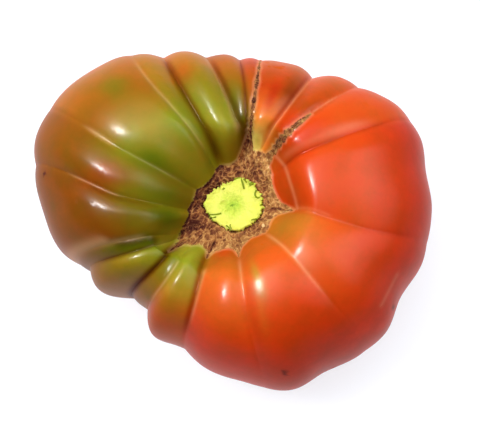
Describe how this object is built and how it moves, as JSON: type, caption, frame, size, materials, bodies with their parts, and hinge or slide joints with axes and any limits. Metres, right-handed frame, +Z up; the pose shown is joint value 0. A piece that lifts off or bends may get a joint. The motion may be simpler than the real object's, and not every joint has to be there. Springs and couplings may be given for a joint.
{
  "type": "ribbed beefsteak tomato",
  "caption": "Large lobed beefsteak tomato resting on its blossom end, with deep creases, a corky stem scar and the torn stub of the stem in it.",
  "frame": {"origin": "middle of the bounding box in plan, on the surface that the fruit rests on", "axes": "+Z up along the stem axis, towards the stem scar; +X along the fruit's greatest width; +Y across it"},
  "size_m": [0.1124, 0.0958, 0.0618],
  "materials": {
    "tomato_skin": "smooth waxy skin, red with orange-brown and olive-green lobes, dull brown cork round the stem",
    "torn_stem": "torn fibrous yellow-green plant tissue, matt"
  },
  "bodies": {
    "root": {"fruit": "tomato_skin", "stem_stub": "torn_stem"}
  },
  "joints": []
}
